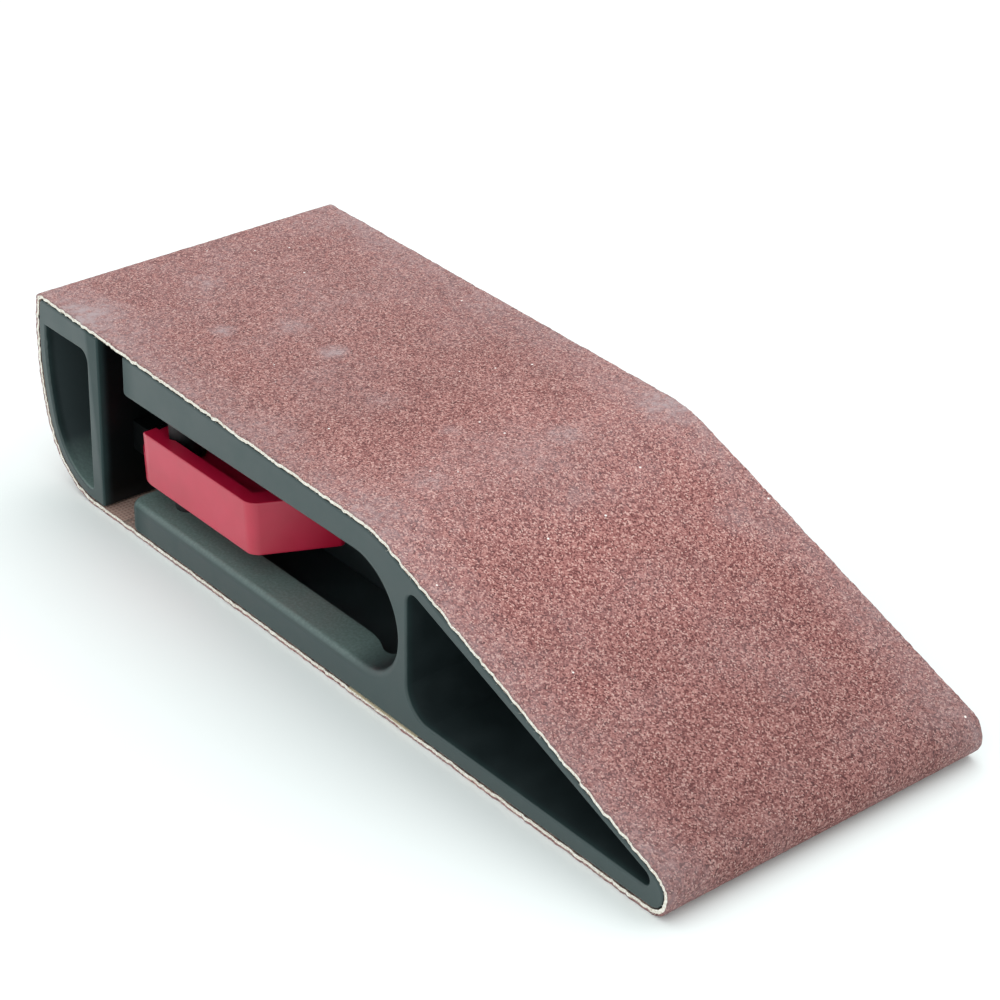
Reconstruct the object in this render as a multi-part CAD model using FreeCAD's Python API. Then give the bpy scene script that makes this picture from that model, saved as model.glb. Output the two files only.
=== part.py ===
"""Hand sanding block that carries an endless sanding-machine belt, 3 in wide and 18 in round.

Frame: +X towards the thin nose, -Y towards the lever side, +Z up.
The origin is on the floor, under the middle of the whole block. Millimetres.
"""
import FreeCAD
import Part

import math
import os

from FreeCAD import Vector

# ---- driving dimensions ----------------------------------------------------

OVERALL_LENGTH = 209.5
BELT_WIDTH = 76.2
BELT_THICKNESS = 1.2
BODY_WIDTH = 76.0            # side faces level with the belt's cut edges
BELT_CLEARANCE = 0.3         # between the belt's inner face and the main body
HEEL_CLEARANCE = 0.35        # the same at the heel, which nears the belt's top as it slides in

# side profile, measured on the belt's outer face
KINK_X = 23.5                # where the top turns down into the slope
TOP_TILT = 2.1               # degrees; the top rises towards the heel
SLOPE_ANGLE = 22.1
KINK_RADIUS = 28.5
NOSE_RADIUS = 5.1
HEEL_LOWER_RADIUS = 18.0
HEEL_BACK_RADIUS = 65.0
HEEL_BACK_MID_Z = 27.0       # height of the rearmost point
HEEL_TOP_RADIUS = 3.0

# the split between main body and heel, both faces raked alike
RAKE = 6.2
BODY_REAR_X = -71.0          # at the sole
HEEL_FRONT_X = -81.2         # at the sole

# finger recess, cut into each side of the main body
RECESS_FLOOR_Z = 8.4
RECESS_ROOF_Z = 33.4
RECESS_END_X = 15.4          # centre of its round front end
CORE_HALF_WIDTH = 13.5       # the core left standing between the two recesses
WELL_FLOOR_Z = 3.4
WELL_REAR_X = -44.5
WELL_TURN_X = 6.6            # from here the ledge beside the well narrows
WELL_END_X = 17.8
WELL_TURN_RADIUS = 15.0
WELL_CORNER_RADIUS = 3.0
LEDGE_INNER_Y = 29.3         # distance of the ledge's inner edge from the middle

# nose pocket, cut into each side
POCKET_FLOOR_Z = 5.1
POCKET_REAR_X = 31.2         # at half height
POCKET_RAKE = 3.7
POCKET_SLOPE = 20.7
POCKET_SLOPE_Z = 30.5        # height of its sloping roof at POCKET_SLOPE_X
POCKET_SLOPE_X = 39.6
POCKET_LOW_RADIUS = 6.0
POCKET_HIGH_RADIUS = 2.6
POCKET_TIP_RADIUS = 1.6
CENTRE_WEB = 4.6

# heel shoe
HEEL_WALL = 4.6
HEEL_BACK_WALL = 2.6
HEEL_POCKET_TOP_Z = 38.6
HEEL_POCKET_UPPER_RADIUS = 2.4
HEEL_POCKET_LOWER_RADIUS = 1.2
HEEL_CENTRE_WEB = 4.0
HEEL_TRAVEL = 6.0            # towards the nose, when the lever lets go

# guide tongue of the heel, in the tunnel through the core
TONGUE_HALF_WIDTH = 8.0
TONGUE_BOTTOM_Z = 12.6
TONGUE_TOP_Z = 29.2
TONGUE_END_X = -47.5
TUNNEL_END_X = -17.5
SLIDE_CLEARANCE = 0.3
SPIGOT_RADIUS = 3.4
SPIGOT_LENGTH = 4.0

# take-up spring
SPRING_RADIUS = 5.4
SPRING_WIRE_RADIUS = 0.7
SPRING_COILS = 8
SPRING_END_GAP = 0.05

# pins
PIVOT_X = -58.9
PIVOT_Y = -29.0
PIVOT_PIN_RADIUS = 2.5
PIVOT_PIN_BOTTOM_Z = 3.4
PIVOT_PIN_TOP_Z = 41.6
RETAINING_PIN_RADIUS = 2.0
RETAINING_PIN_X = -60.5
RUNNING_CLEARANCE = 0.05

# tension lever
LEVER_BOTTOM_Z = 13.8
LEVER_TOP_Z = 25.8
LEVER_WEB_TOP_Z = 21.0       # behind the lip, where the pivot and the cam are
LEVER_LIP = 3.4              # thickness of the full-height lip along the near face and the front
LEVER_LIP_REAR_X = -64.5
LEVER_SWING = 90.0
CAM_CLOSED = 13.0            # pivot to thrust face, lever closed
LEVER_FRONT_X = -24.1        # front end on the near face
LEVER_FRONT_SLANT = 62.8
LEVER_BACK_Y = -18.4
LEVER_CORNER = 3.2           # upright corner between the near face and the slanted front end
LEVER_BACK_CORNER = 1.2      # upright corner behind it
LEVER_REAR_X = -64.9         # rear end of its flat back
LEVER_GAP = 0.1              # end play between the lever and its spacers
BUSH_RADIUS = 4.2
SPACER_RADIUS = 3.4

# cam thrust boss and its steel plate, on the heel
BOSS_FAR_Y = -20.0
BOSS_NEAR_Y = -30.0
THRUST_PLATE = 1.6
THRUST_STUB_RADIUS = 2.0
THRUST_STUB_LENGTH = 5.0
CAM_CLEARANCE = 0.1

# splice tape inside the belt, where its two cut ends meet on the sole
TAPE_WIDTH = 22.0
TAPE_THICKNESS = 0.15
TAPE_X = 40.0
SPLICE_LEAN = 25.0           # degrees off square, as belts are joined

SIDE_EDGE_RADIUS = 0.5       # on every edge of the body's and heel's side faces
RECESS_RIM_RADIUS = 1.6      # on the rim of the finger recess, all the way round
PLATE_CORNER_RADIUS = 3.6    # upright rear corners of the plate below the recess
LEVER_EDGE_RADIUS = 0.35

CUT_OVER = 2.0               # how far a cutting tool runs past the face it opens
SINK = 1.0                   # how far a fused piece starts inside the wall that carries it
FAR = 300.0                  # beyond the block on every side
NEAR = 0.01                  # a point this close to a face or corner lies on it

HALF_LENGTH = OVERALL_LENGTH / 2
HALF_BODY = BODY_WIDTH / 2
SOLE_Z = BELT_THICKNESS + BELT_CLEARANCE
MID_LEVER_Z = (LEVER_BOTTOM_Z + LEVER_TOP_Z) / 2
MID_CAM_Z = (LEVER_BOTTOM_Z + LEVER_WEB_TOP_Z) / 2
CAM_RATE = HEEL_TRAVEL / math.radians(LEVER_SWING)
TONGUE_MID_Z = (TONGUE_BOTTOM_Z + TONGUE_TOP_Z) / 2


# ---- small helpers ---------------------------------------------------------

def xz(x, z):
    """A point of the side profile."""
    return Vector(x, 0, z)


def polar(centre, radius, angle):
    """A point of the side profile at an angle, in degrees, about a centre."""
    a = math.radians(angle)
    return centre + Vector(radius * math.cos(a), 0, radius * math.sin(a))


def arc_about(centre, start, end, towards):
    """The circular edge from start to end whose middle lies on the side named by towards."""
    radius = (start - centre).Length
    middle = centre + Vector(towards).normalize() * radius
    return Part.Arc(start, middle, end).toShape()


def line(start, end):
    return Part.LineSegment(start, end).toShape()


def wire(edges):
    return Part.Wire(Part.__sortEdges__(edges))


def polygon(points):
    return Part.makePolygon(list(points) + [points[0]])


def prism_y(outline, y_low, y_high):
    """Extrude a closed side profile from y_low to y_high."""
    face = Part.Face(outline)
    face.translate(Vector(0, y_low, 0))
    return face.extrude(Vector(0, y_high - y_low, 0))


def prism_z(outline, z_low, z_high):
    """Extrude a closed plan outline from z_low to z_high."""
    face = Part.Face(outline)
    face.translate(Vector(0, 0, z_low))
    return face.extrude(Vector(0, 0, z_high - z_low))


def box(x, y, z):
    """A box from its three (low, high) pairs."""
    corner = Vector(x[0], y[0], z[0])
    return Part.makeBox(x[1] - x[0], y[1] - y[0], z[1] - z[0], corner)


def cylinder(radius, start, end):
    axis = end - start
    return Part.makeCylinder(radius, axis.Length, start, axis)


def upright(radius, x, y, z_low, z_high):
    return cylinder(radius, Vector(x, y, z_low), Vector(x, y, z_high))


def mirrored(shape):
    """The same shape on the other side of the block's middle plane."""
    return shape.mirror(Vector(0, 0, 0), Vector(0, 1, 0))


def fillet(shape, radius, wanted):
    """Round the edges of a shape that a test picks out."""
    edges = [edge for edge in shape.Edges if wanted(edge)]
    return shape.makeFillet(radius, edges) if edges else shape


def is_along(edge, axis):
    """True for a straight edge parallel to an axis."""
    if edge.Curve.TypeId != "Part::GeomLine":
        return False
    return abs(edge.Curve.Direction.dot(axis)) > 0.999


def round_side_edges(shape):
    """Break the edges of the two flat side faces."""
    def on_side(edge):
        return all(abs(abs(vertex.Point.y) - HALF_BODY) < NEAR for vertex in edge.Vertexes)
    return fillet(shape, SIDE_EDGE_RADIUS, on_side)


def save(shape, node):
    shape.exportStep(os.path.join("parts", node + ".step"))


# ---- the side profile ------------------------------------------------------

def raked_x(sole_x, z):
    """X of a raked face at height z, from its X at the sole."""
    return sole_x + (z - SOLE_Z) * math.tan(math.radians(RAKE))


def belt_outline():
    """The belt's outer face as one closed wire of tangent lines and arcs."""
    tilt = math.radians(TOP_TILT)
    slope = math.radians(SLOPE_ANGLE)
    rearward = Vector(-math.cos(tilt), 0, math.sin(tilt))
    downhill = Vector(math.cos(slope), 0, -math.sin(slope))
    into_top = Vector(-math.sin(tilt), 0, -math.cos(tilt))

    nose = xz(HALF_LENGTH - NOSE_RADIUS, NOSE_RADIUS)
    nose_low = xz(nose.x, 0)
    nose_high = polar(nose, NOSE_RADIUS, 90 - SLOPE_ANGLE)
    run = nose_high.x - KINK_X
    kink = xz(KINK_X, nose_high.z + run * math.tan(slope))

    reach = KINK_RADIUS * math.tan((slope - tilt) / 2)
    kink_front = kink + downhill * reach
    kink_rear = kink + rearward * reach
    kink_centre = kink_rear + into_top * KINK_RADIUS

    back = xz(HEEL_BACK_RADIUS - HALF_LENGTH, HEEL_BACK_MID_Z)
    drop = HEEL_BACK_MID_Z - HEEL_LOWER_RADIUS
    reach = math.sqrt((HEEL_BACK_RADIUS - HEEL_LOWER_RADIUS) ** 2 - drop ** 2)
    low = xz(back.x - reach, HEEL_LOWER_RADIUS)
    low_start = xz(low.x, 0)
    low_end = back + (low - back).normalize() * HEEL_BACK_RADIUS

    # the top corner's centre lies HEEL_TOP_RADIUS under the top line and inside the back arc
    start = kink + into_top * HEEL_TOP_RADIUS - back
    along = start.dot(rearward)
    reach = HEEL_BACK_RADIUS - HEEL_TOP_RADIUS
    step = -along + math.sqrt(along ** 2 - start.dot(start) + reach ** 2)
    corner = back + start + rearward * step
    corner_top = corner - into_top * HEEL_TOP_RADIUS
    corner_back = back + (corner - back).normalize() * HEEL_BACK_RADIUS

    edges = [
        line(low_start, nose_low),
        arc_about(nose, nose_low, nose_high, (1, 0, 0)),
        line(nose_high, kink_front),
        arc_about(kink_centre, kink_front, kink_rear, kink - kink_centre),
        line(kink_rear, corner_top),
        arc_about(corner, corner_top, corner_back, (-1, 0, 1)),
        arc_about(back, corner_back, low_end, (-1, 0, 0)),
        arc_about(low, low_end, low_start, (-1, 0, -1)),
    ]
    return wire(edges)


OUTLINE = belt_outline()
BELT_INNER = OUTLINE.makeOffset2D(-BELT_THICKNESS)
BLOCK_OUTLINE = OUTLINE.makeOffset2D(-SOLE_Z)
HEEL_OUTLINE = OUTLINE.makeOffset2D(-(BELT_THICKNESS + HEEL_CLEARANCE))


def is_on_rake(edge, sole_x):
    """True for an edge across the block that lies on a raked face."""
    middle = edge.CenterOfMass
    return is_along(edge, Vector(0, 1, 0)) and abs(middle.x - raked_x(sole_x, middle.z)) < NEAR


def raked_slab(sole_x, ahead):
    """Everything ahead of, or behind, a raked face, as a cutting tool."""
    end = FAR if ahead else -FAR
    corners = [
        xz(raked_x(sole_x, -FAR), -FAR),
        xz(raked_x(sole_x, FAR), FAR),
        xz(end, FAR),
        xz(end, -FAR),
    ]
    return prism_y(polygon(corners), -FAR, FAR)


# ---- main body -------------------------------------------------------------

def recess_tool():
    """The finger recess of the lever side: a flat slot with a round front end."""
    centre = xz(RECESS_END_X, (RECESS_FLOOR_Z + RECESS_ROOF_Z) / 2)
    floor_rear = xz(-FAR, RECESS_FLOOR_Z)
    floor_front = xz(RECESS_END_X, RECESS_FLOOR_Z)
    roof_front = xz(RECESS_END_X, RECESS_ROOF_Z)
    roof_rear = xz(-FAR, RECESS_ROOF_Z)
    outline = wire([
        line(floor_rear, floor_front),
        arc_about(centre, floor_front, roof_front, (1, 0, 0)),
        line(roof_front, roof_rear),
        line(roof_rear, floor_rear),
    ])
    return prism_y(outline, -HALF_BODY - CUT_OVER, -CORE_HALF_WIDTH)


def well_tool():
    """The deeper well in the recess floor, which leaves a ledge along the side."""
    turn_centre = Vector(WELL_TURN_X, -LEDGE_INNER_Y - WELL_TURN_RADIUS, 0)
    sweep = math.asin((WELL_END_X - WELL_TURN_X) / WELL_TURN_RADIUS)

    def on_turn(angle):
        return turn_centre + Vector(math.sin(angle), math.cos(angle), 0) * WELL_TURN_RADIUS

    rear_near = Vector(WELL_REAR_X, -LEDGE_INNER_Y, 0)
    rear_far = Vector(WELL_REAR_X, -CORE_HALF_WIDTH, 0)
    front_far = Vector(WELL_END_X, -CORE_HALF_WIDTH, 0)
    outline = wire([
        line(rear_near, on_turn(0)),
        Part.Arc(on_turn(0), on_turn(sweep / 2), on_turn(sweep)).toShape(),
        line(on_turn(sweep), front_far),
        line(front_far, rear_far),
        line(rear_far, rear_near),
    ])
    tool = prism_z(outline, WELL_FLOOR_Z, RECESS_FLOOR_Z + CUT_OVER)
    middle_y = -(CORE_HALF_WIDTH + LEDGE_INNER_Y) / 2

    def at_ledge(edge):
        return is_along(edge, Vector(0, 0, 1)) and edge.CenterOfMass.y < middle_y
    return fillet(tool, WELL_CORNER_RADIUS, at_ledge)


def pocket_tool():
    """The nose pocket of the lever side: a triangle with rounded corners."""
    rake = math.tan(math.radians(POCKET_RAKE))
    slope = math.tan(math.radians(POCKET_SLOPE))
    mid_z = (POCKET_FLOOR_Z + POCKET_SLOPE_Z) / 2
    low = xz(POCKET_REAR_X - (mid_z - POCKET_FLOOR_Z) * rake, POCKET_FLOOR_Z)
    # the raked rear side meets the sloping roof
    roof_z_at_rear = POCKET_SLOPE_Z - (POCKET_REAR_X - mid_z * rake - POCKET_SLOPE_X) * slope
    high_z = roof_z_at_rear / (1 + rake * slope)
    high = xz(POCKET_REAR_X + (high_z - mid_z) * rake, high_z)
    tip = xz(POCKET_SLOPE_X + (POCKET_SLOPE_Z - POCKET_FLOOR_Z) / slope, POCKET_FLOOR_Z)
    tool = prism_y(polygon([low, high, tip]), -HALF_BODY - CUT_OVER, -CENTRE_WEB / 2)
    radii = ((low, POCKET_LOW_RADIUS), (high, POCKET_HIGH_RADIUS), (tip, POCKET_TIP_RADIUS))
    for corner, radius in radii:
        def at_corner(edge, corner=corner):
            away = edge.CenterOfMass - corner
            return is_along(edge, Vector(0, 1, 0)) and math.hypot(away.x, away.z) < NEAR
        tool = fillet(tool, radius, at_corner)
    return tool


def tunnel_tool():
    """The tunnel that the heel's tongue slides in, less the spigot that locates the spring."""
    grow = SLIDE_CLEARANCE
    half = TONGUE_HALF_WIDTH + grow
    height = (TONGUE_BOTTOM_Z - grow, TONGUE_TOP_Z + grow)
    tunnel = box((-FAR, TUNNEL_END_X), (-half, half), height)
    end = Vector(TUNNEL_END_X, 0, TONGUE_MID_Z)
    spigot = cylinder(SPIGOT_RADIUS, end - Vector(SPIGOT_LENGTH, 0, 0), end + Vector(SINK, 0, 0))
    return tunnel.cut(spigot)


def main_body():
    body = prism_y(BLOCK_OUTLINE, -HALF_BODY, HALF_BODY)
    body = body.common(raked_slab(BODY_REAR_X, ahead=True))
    for tool in (recess_tool(), well_tool(), pocket_tool()):
        body = body.cut(tool).cut(mirrored(tool))

    def at_recess_rear(edge):
        level = edge.CenterOfMass.z
        at_level = min(abs(level - RECESS_FLOOR_Z), abs(level - RECESS_ROOF_Z)) < NEAR
        return at_level and is_on_rake(edge, BODY_REAR_X)

    def at_plate_corner(edge):
        middle = edge.CenterOfMass
        at_side = abs(abs(middle.y) - HALF_BODY) < NEAR
        at_rear = abs(middle.x - raked_x(BODY_REAR_X, middle.z)) < NEAR
        return at_side and at_rear and middle.z < RECESS_FLOOR_Z
    body = fillet(body, PLATE_CORNER_RADIUS, at_plate_corner)
    # the rim's edges run on tangent to each other, so its rear edges carry the whole rim
    body = fillet(body, RECESS_RIM_RADIUS, at_recess_rear)
    body = round_side_edges(body)
    body = body.cut(tunnel_tool())
    body = body.cut(upright(PIVOT_PIN_RADIUS, PIVOT_X, PIVOT_Y, PIVOT_PIN_BOTTOM_Z, FAR))
    return body.cut(retaining_pin())


# ---- pins, spacers, spring -------------------------------------------------

def lever_pivot_pin():
    return upright(PIVOT_PIN_RADIUS, PIVOT_X, PIVOT_Y, PIVOT_PIN_BOTTOM_Z, PIVOT_PIN_TOP_Z)


def sleeve(radius, z_low, z_high):
    """A tube on the pivot pin, with running clearance."""
    bore = PIVOT_PIN_RADIUS + RUNNING_CLEARANCE
    outer = upright(radius, PIVOT_X, PIVOT_Y, z_low, z_high)
    return outer.cut(upright(bore, PIVOT_X, PIVOT_Y, z_low - CUT_OVER, z_high + CUT_OVER))


def spacer(z_low, z_high):
    """A sleeve on the pivot pin that keeps the lever at its height."""
    return sleeve(SPACER_RADIUS, z_low, z_high)


def retaining_pin():
    """The cross pin through the core, which keeps the heel's tongue in its tunnel."""
    start = Vector(RETAINING_PIN_X, -CORE_HALF_WIDTH, TONGUE_MID_Z)
    end = Vector(RETAINING_PIN_X, CORE_HALF_WIDTH, TONGUE_MID_Z)
    return cylinder(RETAINING_PIN_RADIUS, start, end)


def take_up_spring():
    """A compression spring between the tongue's end and the end of the tunnel."""
    seat = SPRING_WIRE_RADIUS + SPRING_END_GAP
    length = TUNNEL_END_X - TONGUE_END_X - 2 * seat
    helix = Part.makeHelix(length / SPRING_COILS, length, SPRING_RADIUS)
    start = Vector(SPRING_RADIUS, 0, 0)
    section = Part.Wire(Part.makeCircle(SPRING_WIRE_RADIUS, start, Vector(0, 1, 0)))
    coil = Part.Wire(helix.Edges).makePipeShell([section], True, True)
    coil.rotate(Vector(0, 0, 0), Vector(0, 1, 0), 90)
    coil.translate(Vector(TONGUE_END_X + seat, 0, TONGUE_MID_Z))
    return coil


# ---- heel shoe -------------------------------------------------------------

def heel_pocket_tool():
    """The hollow in one side of the heel, between its back, top and front walls."""
    inner = OUTLINE.makeOffset2D(-(SOLE_Z + HEEL_BACK_WALL))
    tool = prism_y(inner, -HALF_BODY - CUT_OVER, -HEEL_CENTRE_WEB / 2)
    front_x = HEEL_FRONT_X - HEEL_WALL / math.cos(math.radians(RAKE))
    tool = tool.common(raked_slab(front_x, ahead=False))
    tool = tool.cut(box((-FAR, FAR), (-FAR, FAR), (HEEL_POCKET_TOP_Z, FAR)))

    def is_upper(edge):
        return is_on_rake(edge, front_x) and edge.CenterOfMass.z > MID_LEVER_Z

    def is_lower(edge):
        return is_on_rake(edge, front_x) and edge.CenterOfMass.z < MID_LEVER_Z
    tool = fillet(tool, HEEL_POCKET_UPPER_RADIUS, is_upper)
    return fillet(tool, HEEL_POCKET_LOWER_RADIUS, is_lower)


def tongue():
    """The heel's guide tongue with its slot for the retaining pin."""
    bar = box(
        (raked_x(HEEL_FRONT_X, TONGUE_BOTTOM_Z) - SINK, TONGUE_END_X),
        (-TONGUE_HALF_WIDTH, TONGUE_HALF_WIDTH),
        (TONGUE_BOTTOM_Z, TONGUE_TOP_Z),
    )
    reach = RETAINING_PIN_RADIUS + SLIDE_CLEARANCE
    slot_rear = RETAINING_PIN_X - HEEL_TRAVEL - reach
    slot_front = RETAINING_PIN_X + reach
    slot = box(
        (slot_rear, slot_front),
        (-TONGUE_HALF_WIDTH - CUT_OVER, TONGUE_HALF_WIDTH + CUT_OVER),
        (TONGUE_MID_Z - reach, TONGUE_MID_Z + reach),
    )
    end = Vector(TONGUE_END_X, 0, TONGUE_MID_Z)
    spigot = cylinder(SPIGOT_RADIUS, end - Vector(SINK, 0, 0), end + Vector(SPIGOT_LENGTH, 0, 0))
    return bar.cut(slot).fuse(spigot)


def thrust_boss():
    """The block on the heel that the lever's cam pushes against, through its steel plate."""
    face_x = PIVOT_X - CAM_CLOSED - CAM_CLEARANCE - THRUST_PLATE
    rear_x = raked_x(HEEL_FRONT_X, LEVER_BOTTOM_Z) - SINK
    return box((rear_x, face_x), (BOSS_NEAR_Y, BOSS_FAR_Y), (LEVER_BOTTOM_Z, LEVER_WEB_TOP_Z))


def thrust_plate():
    """The hardened plate on the boss, held by a round stub."""
    face_x = PIVOT_X - CAM_CLOSED - CAM_CLEARANCE
    back_x = face_x - THRUST_PLATE
    plate = box((back_x, face_x), (BOSS_NEAR_Y, BOSS_FAR_Y), (LEVER_BOTTOM_Z, LEVER_WEB_TOP_Z))
    return plate.fuse(thrust_stub(back_x))


def thrust_stub(back_x):
    end = Vector(back_x, (BOSS_NEAR_Y + BOSS_FAR_Y) / 2, MID_CAM_Z)
    return cylinder(THRUST_STUB_RADIUS, end - Vector(THRUST_STUB_LENGTH, 0, 0), end)


def heel_shoe():
    heel = prism_y(HEEL_OUTLINE, -HALF_BODY, HALF_BODY)
    heel = heel.common(raked_slab(HEEL_FRONT_X, ahead=False))
    pocket = heel_pocket_tool()
    heel = heel.cut(pocket).cut(mirrored(pocket))
    heel = round_side_edges(heel)
    heel = heel.fuse(tongue()).fuse(thrust_boss())
    return heel.cut(thrust_plate()).removeSplitter()


# ---- tension lever ---------------------------------------------------------

def cam_curve():
    """The cam flank as a curve whose reach falls evenly as the lever turns."""
    points = []
    steps = 12
    for step in range(steps + 1):
        turn = math.radians(LEVER_SWING) * step / steps
        reach = CAM_CLOSED - CAM_RATE * turn
        outward = Vector(-math.cos(turn), -math.sin(turn), 0)
        sideways = Vector(math.sin(turn), -math.cos(turn), 0)
        points.append(Vector(PIVOT_X, PIVOT_Y, 0) + outward * reach - sideways * CAM_RATE)
    curve = Part.BSplineCurve()
    curve.interpolate(points)
    return curve.toShape(), points[0], points[-1]


def lever_outline():
    """The lever in plan: cam flank, flat near face, slanted front end, flat back."""
    flank, cam_tip, flank_end = cam_curve()
    near_y = flank_end.y
    slant = math.tan(math.radians(LEVER_FRONT_SLANT))
    near_front = Vector(LEVER_FRONT_X, near_y, 0)
    back_front = Vector(LEVER_FRONT_X + (LEVER_BACK_Y - near_y) / slant, LEVER_BACK_Y, 0)
    back_rear = Vector(LEVER_REAR_X, LEVER_BACK_Y, 0)
    return wire([
        flank,
        line(flank_end, near_front),
        line(near_front, back_front),
        line(back_front, back_rear),
        line(back_rear, cam_tip),
    ])


def above_web():
    """What is cut away above the lever's web: all behind its lip, and all behind the lip's rear end."""
    slant = math.tan(math.radians(LEVER_FRONT_SLANT))
    lip_y = PIVOT_Y - CAM_CLOSED + HEEL_TRAVEL + LEVER_LIP
    front_x = LEVER_FRONT_X - LEVER_LIP
    beyond_y = LEVER_BACK_Y + CUT_OVER
    outline = polygon([
        Vector(-FAR, -FAR, 0),
        Vector(LEVER_LIP_REAR_X, -FAR, 0),
        Vector(LEVER_LIP_REAR_X, lip_y, 0),
        Vector(front_x, lip_y, 0),
        Vector(front_x + (beyond_y - lip_y) / slant, beyond_y, 0),
        Vector(-FAR, beyond_y, 0),
    ])
    return prism_z(outline, LEVER_WEB_TOP_Z, FAR)


def tension_lever():
    middle_x = (PIVOT_X + LEVER_FRONT_X) / 2
    middle_y = (PIVOT_Y + LEVER_BACK_Y) / 2

    def at_front(edge):
        return is_along(edge, Vector(0, 0, 1)) and edge.CenterOfMass.x > middle_x

    def at_near_front(edge):
        return at_front(edge) and edge.CenterOfMass.y < middle_y

    def at_back_front(edge):
        return at_front(edge) and edge.CenterOfMass.y > middle_y

    def is_level(edge):
        return edge.BoundBox.ZLength < NEAR
    lever = prism_z(lever_outline(), LEVER_BOTTOM_Z, LEVER_TOP_Z)
    lever = fillet(lever, LEVER_CORNER, at_near_front)
    lever = fillet(lever, LEVER_BACK_CORNER, at_back_front)
    lever = fillet(lever, LEVER_EDGE_RADIUS, is_level)
    lever = lever.cut(above_web())
    return lever.cut(upright(BUSH_RADIUS, PIVOT_X, PIVOT_Y, -FAR, FAR))


def lever_bush():
    return sleeve(BUSH_RADIUS, LEVER_BOTTOM_Z, LEVER_WEB_TOP_Z)


# ---- belt ------------------------------------------------------------------

def sanding_belt():
    half = BELT_WIDTH / 2
    loop = prism_y(OUTLINE, -half, half)
    return loop.cut(prism_y(BELT_INNER, -half - CUT_OVER, half + CUT_OVER))


def belt_splice_tape():
    """The strip bonded over the belt's slanting joint, on the inner face of the sole."""
    half = BELT_WIDTH / 2
    lean = half * math.tan(math.radians(SPLICE_LEAN))
    rear = TAPE_X - TAPE_WIDTH / 2
    front = TAPE_X + TAPE_WIDTH / 2
    outline = polygon([
        Vector(rear - lean, -half, 0),
        Vector(front - lean, -half, 0),
        Vector(front + lean, half, 0),
        Vector(rear + lean, half, 0),
    ])
    return prism_z(outline, BELT_THICKNESS, BELT_THICKNESS + TAPE_THICKNESS)


# ---- write every piece -----------------------------------------------------

NODES = {
    "main_body": main_body(),
    "lever_pivot_pin": lever_pivot_pin(),
    "lower_lever_spacer": spacer(RECESS_FLOOR_Z, LEVER_BOTTOM_Z - LEVER_GAP),
    "upper_lever_spacer": spacer(LEVER_WEB_TOP_Z + LEVER_GAP, RECESS_ROOF_Z),
    "heel_retaining_pin": retaining_pin(),
    "take_up_spring": take_up_spring(),
    "heel_shoe": heel_shoe(),
    "cam_thrust_plate": thrust_plate(),
    "tension_lever": tension_lever(),
    "lever_bush": lever_bush(),
    "sanding_belt": sanding_belt(),
    "belt_splice_tape": belt_splice_tape(),
}

os.makedirs("parts", exist_ok=True)
for node, shape in NODES.items():
    save(shape, node)
    print(node, "valid", shape.isValid(), "solids", len(shape.Solids), "volume", round(shape.Volume, 1))
print("belt length round its inner face", round(BELT_INNER.Length, 1))
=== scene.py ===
import math

import bpy
import numpy as np
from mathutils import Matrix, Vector, geometry


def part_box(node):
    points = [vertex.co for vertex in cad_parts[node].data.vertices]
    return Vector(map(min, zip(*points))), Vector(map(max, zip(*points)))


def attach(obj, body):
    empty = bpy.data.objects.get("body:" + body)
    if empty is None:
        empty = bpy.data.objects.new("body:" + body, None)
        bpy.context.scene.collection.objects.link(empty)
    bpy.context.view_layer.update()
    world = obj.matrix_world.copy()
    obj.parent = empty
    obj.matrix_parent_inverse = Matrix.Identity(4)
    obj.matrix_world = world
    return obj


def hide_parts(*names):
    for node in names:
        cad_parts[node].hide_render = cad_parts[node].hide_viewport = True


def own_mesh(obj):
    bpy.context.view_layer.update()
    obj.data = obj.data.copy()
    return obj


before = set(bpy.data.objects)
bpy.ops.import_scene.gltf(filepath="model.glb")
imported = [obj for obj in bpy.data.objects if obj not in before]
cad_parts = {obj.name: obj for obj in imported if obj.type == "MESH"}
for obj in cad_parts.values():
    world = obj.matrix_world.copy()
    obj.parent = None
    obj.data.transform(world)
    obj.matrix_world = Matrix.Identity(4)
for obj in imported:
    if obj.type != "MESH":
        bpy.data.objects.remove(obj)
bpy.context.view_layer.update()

MM = 0.001
SEED = 7

# ---- the belt ------------------------------------------------------------------

BELT_FLAT = (0.0762, 0.4572)      # 3 in by 18 in, cut flat
BELT_THICKNESS = 1.2 * MM
GRIT_SHARE = 0.42                 # of the belt's thickness; the rest is cloth
STATIONS = 760                    # rings of points round the loop
GRIT_COLUMNS = 96                 # columns of points across the grit
INNER_COLUMNS = 8
EDGE_ROWS = 3                     # rows of points down each cut edge
GRIT_RELIEF = 0.07 * MM
INNER_RELIEF = 0.04 * MM

# The cut edges. A reach is in stations.
EDGE_WANDER = 0.07 * MM           # how far the cut edge strays from a straight line
WANDER_REACH = 14
EDGE_JAG = 0.13 * MM              # how far the ends of the yarns stray from that
JAG_REACH = 3
EDGE_NICK = 0.12 * MM             # how deep single stations are nicked
TUFT = 0.26 * MM                  # how far the cloth's cut yarns stand out of the edge
TUFT_JITTER = 0.4                 # how far one station's tuft differs from its neighbours
TUFT_LOWEST = -0.3                # the deepest dent between tufts, as a share of a tuft
TUFT_FALLS_TO = 0.75              # how far down the thickness a tuft's bulge goes on falling away
DROOP = 0.12 * MM                 # how far the tufts hang below the cloth

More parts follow.
